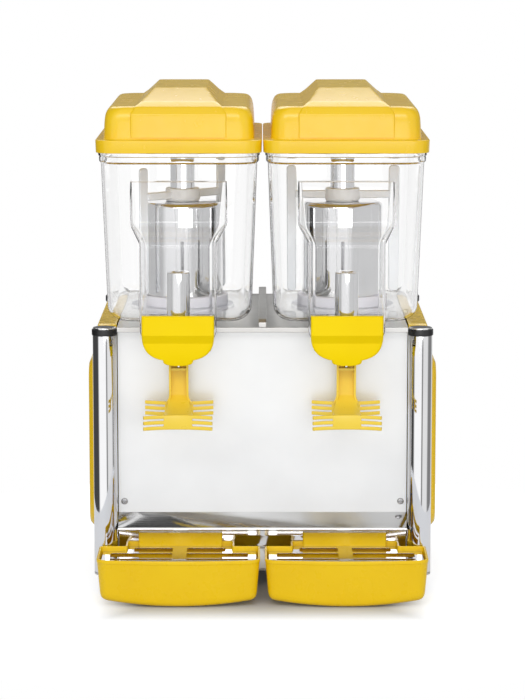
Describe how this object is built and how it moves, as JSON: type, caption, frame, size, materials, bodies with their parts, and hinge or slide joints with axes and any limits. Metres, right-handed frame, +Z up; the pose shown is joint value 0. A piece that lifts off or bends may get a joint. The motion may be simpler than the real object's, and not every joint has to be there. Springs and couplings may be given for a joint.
{
  "type": "juice dispenser",
  "caption": "Refrigerated countertop juice dispenser: clear lift-off tanks with yellow lids over a steel cabinet, push-lever taps, stirrers and pull-out drip trays.",
  "frame": {"origin": "on the counter, under the middle of the machine's box", "axes": "+Z up, front with the taps faces -Y, +X to the right seen from the front"},
  "size_m": [0.44, 0.441, 0.6295],
  "materials": {
    "steel_satin": "satin",
    "steel_panel": "satin",
    "steel_bright": "polished",
    "chrome": "polished",
    "screw_steel": "satin",
    "black_plastic": "matte",
    "green_plastic": "gloss",
    "rubber": "matte",
    "silicone": "matte",
    "yellow_gloss": "gloss",
    "white_plastic": "matte",
    "clear": "clear gloss",
    "black_paint": "satin",
    "motor_paint": "satin",
    "alu": "mill",
    "copper": "bright",
    "sleeve": "matte",
    "grey_plastic": "matte"
  },
  "bodies": {
    "cabinet": {"base_pan": "steel_satin", "plinth_panel": "steel_bright", "front_panel": "steel_panel", "back_panel": "steel_satin", "top_deck": "steel_bright", "deck_divider": "steel_satin", "side_cover_left": "yellow_gloss", "side_cover_right": "yellow_gloss", "corner_columns": "chrome", "column_collars": "black_plastic", "column_caps": "chrome", "feet": "rubber", "panel_screws": "screw_steel", "back_screws": "screw_steel", "compressor": "black_paint", "compressor_mounts": "rubber", "condenser": "alu", "fan_shroud": "black_plastic", "fan_motor": "motor_paint", "evaporator_left": "chrome", "evaporator_right": "chrome", "cooling_jackets": "sleeve", "deck_gaskets": "silicone", "stirrer_motors": "motor_paint", "control_box": "grey_plastic", "switch_frames": "black_plastic", "cable_gland": "black_plastic", "refrigerant_pipes": "copper"},
    "fan": {"fan_blades": "black_plastic"},
    "rotor_left": {"drive_rotor_left": "motor_paint"},
    "tank_left": {"tank_left": "clear", "tap_cover_left": "yellow_gloss", "lever_pin_left": "screw_steel"},
    "lever_left": {"lever_left": "yellow_gloss"},
    "plunger_left": {"plunger_left": "chrome", "plunger_seal_left": "rubber"},
    "agitator_left": {"agitator_left": "white_plastic"},
    "lid_left": {"lid_left": "yellow_gloss"},
    "drip_tray_left": {"drip_tray_left": "yellow_gloss"},
    "drip_plate_left": {"drip_plate_left": "chrome"},
    "rotor_right": {"drive_rotor_right": "motor_paint"},
    "tank_right": {"tank_right": "clear", "tap_cover_right": "yellow_gloss", "lever_pin_right": "screw_steel"},
    "lever_right": {"lever_right": "yellow_gloss"},
    "plunger_right": {"plunger_right": "chrome", "plunger_seal_right": "rubber"},
    "agitator_right": {"agitator_right": "white_plastic"},
    "lid_right": {"lid_right": "yellow_gloss"},
    "drip_tray_right": {"drip_tray_right": "yellow_gloss"},
    "drip_plate_right": {"drip_plate_right": "chrome"},
    "rocker_cooling": {"rocker_cooling": "green_plastic"},
    "rocker_mixer_left": {"rocker_mixer_left": "black_plastic"},
    "rocker_mixer_right": {"rocker_mixer_right": "black_plastic"},
    "thermostat_knob": {"thermostat_knob": "black_plastic"}
  },
  "joints": [
    {"name": "tank_left_lift", "type": "slide", "parent": "cabinet", "child": "tank_left", "axis": [0, 0, 1], "range_m": [0, 0.21]},
    {"name": "lid_left_lift", "type": "slide", "parent": "tank_left", "child": "lid_left", "axis": [0, 0, 1], "range_m": [0, 0.12]},
    {"name": "rotor_left_spin", "type": "hinge", "parent": "cabinet", "child": "rotor_left", "pos_m": [-0.104, 0.0545, 0.42], "axis": [0, 0, 1], "continuous": true},
    {"name": "agitator_left_spin", "type": "hinge", "parent": "tank_left", "child": "agitator_left", "pos_m": [-0.104, 0.0545, 0.485], "axis": [0, 0, 1], "continuous": true},
    {"name": "lever_left_push", "type": "hinge", "parent": "tank_left", "child": "lever_left", "pos_m": [-0.104, -0.1595, 0.304], "axis": [1, 0, 0], "range_deg": [-1, 20]},
    {"name": "plunger_left_lift", "type": "slide", "parent": "tank_left", "child": "plunger_left", "axis": [0, 0, 1], "range_m": [0, 0.00408]},
    {"name": "tray_left_pull", "type": "slide", "parent": "cabinet", "child": "drip_tray_left", "axis": [0, -1, 0], "range_m": [0, 0.12]},
    {"name": "plate_left_lift", "type": "slide", "parent": "drip_tray_left", "child": "drip_plate_left", "axis": [0, 0, 1], "range_m": [0, 0.02]},
    {"name": "tank_right_lift", "type": "slide", "parent": "cabinet", "child": "tank_right", "axis": [0, 0, 1], "range_m": [0, 0.21]},
    {"name": "lid_right_lift", "type": "slide", "parent": "tank_right", "child": "lid_right", "axis": [0, 0, 1], "range_m": [0, 0.12]},
    {"name": "rotor_right_spin", "type": "hinge", "parent": "cabinet", "child": "rotor_right", "pos_m": [0.104, 0.0545, 0.42], "axis": [0, 0, 1], "continuous": true},
    {"name": "agitator_right_spin", "type": "hinge", "parent": "tank_right", "child": "agitator_right", "pos_m": [0.104, 0.0545, 0.485], "axis": [0, 0, 1], "continuous": true},
    {"name": "lever_right_push", "type": "hinge", "parent": "tank_right", "child": "lever_right", "pos_m": [0.104, -0.1595, 0.304], "axis": [1, 0, 0], "range_deg": [-1, 20]},
    {"name": "plunger_right_lift", "type": "slide", "parent": "tank_right", "child": "plunger_right", "axis": [0, 0, 1], "range_m": [0, 0.00408]},
    {"name": "tray_right_pull", "type": "slide", "parent": "cabinet", "child": "drip_tray_right", "axis": [0, -1, 0], "range_m": [0, 0.12]},
    {"name": "plate_right_lift", "type": "slide", "parent": "drip_tray_right", "child": "drip_plate_right", "axis": [0, 0, 1], "range_m": [0, 0.02]},
    {"name": "fan_spin", "type": "hinge", "parent": "cabinet", "child": "fan", "pos_m": [0.092, 0.13, 0.113], "axis": [0, 1, 0], "continuous": true},
    {"name": "rocker_cooling_tilt", "type": "hinge", "parent": "cabinet", "child": "rocker_cooling", "pos_m": [0.047, 0.201, 0.2885], "axis": [1, 0, 0], "range_deg": [0, 16]},
    {"name": "rocker_mixer_left_tilt", "type": "hinge", "parent": "cabinet", "child": "rocker_mixer_left", "pos_m": [0.077, 0.201, 0.2885], "axis": [1, 0, 0], "range_deg": [0, 16]},
    {"name": "rocker_mixer_right_tilt", "type": "hinge", "parent": "cabinet", "child": "rocker_mixer_right", "pos_m": [0.107, 0.201, 0.2885], "axis": [1, 0, 0], "range_deg": [0, 16]},
    {"name": "thermostat_turn", "type": "hinge", "parent": "cabinet", "child": "thermostat_knob", "pos_m": [0.137, 0.21, 0.2885], "axis": [0, 1, 0], "range_deg": [0, 270]}
  ],
  "couplings": [
    {"joint": "agitator_left_spin", "follows": "rotor_left_spin", "ratio": 1},
    {"joint": "lever_left_push", "follows": "plunger_left_lift", "rad_per_m": 76.92},
    {"joint": "agitator_right_spin", "follows": "rotor_right_spin", "ratio": 1},
    {"joint": "lever_right_push", "follows": "plunger_right_lift", "rad_per_m": 76.92}
  ]
}
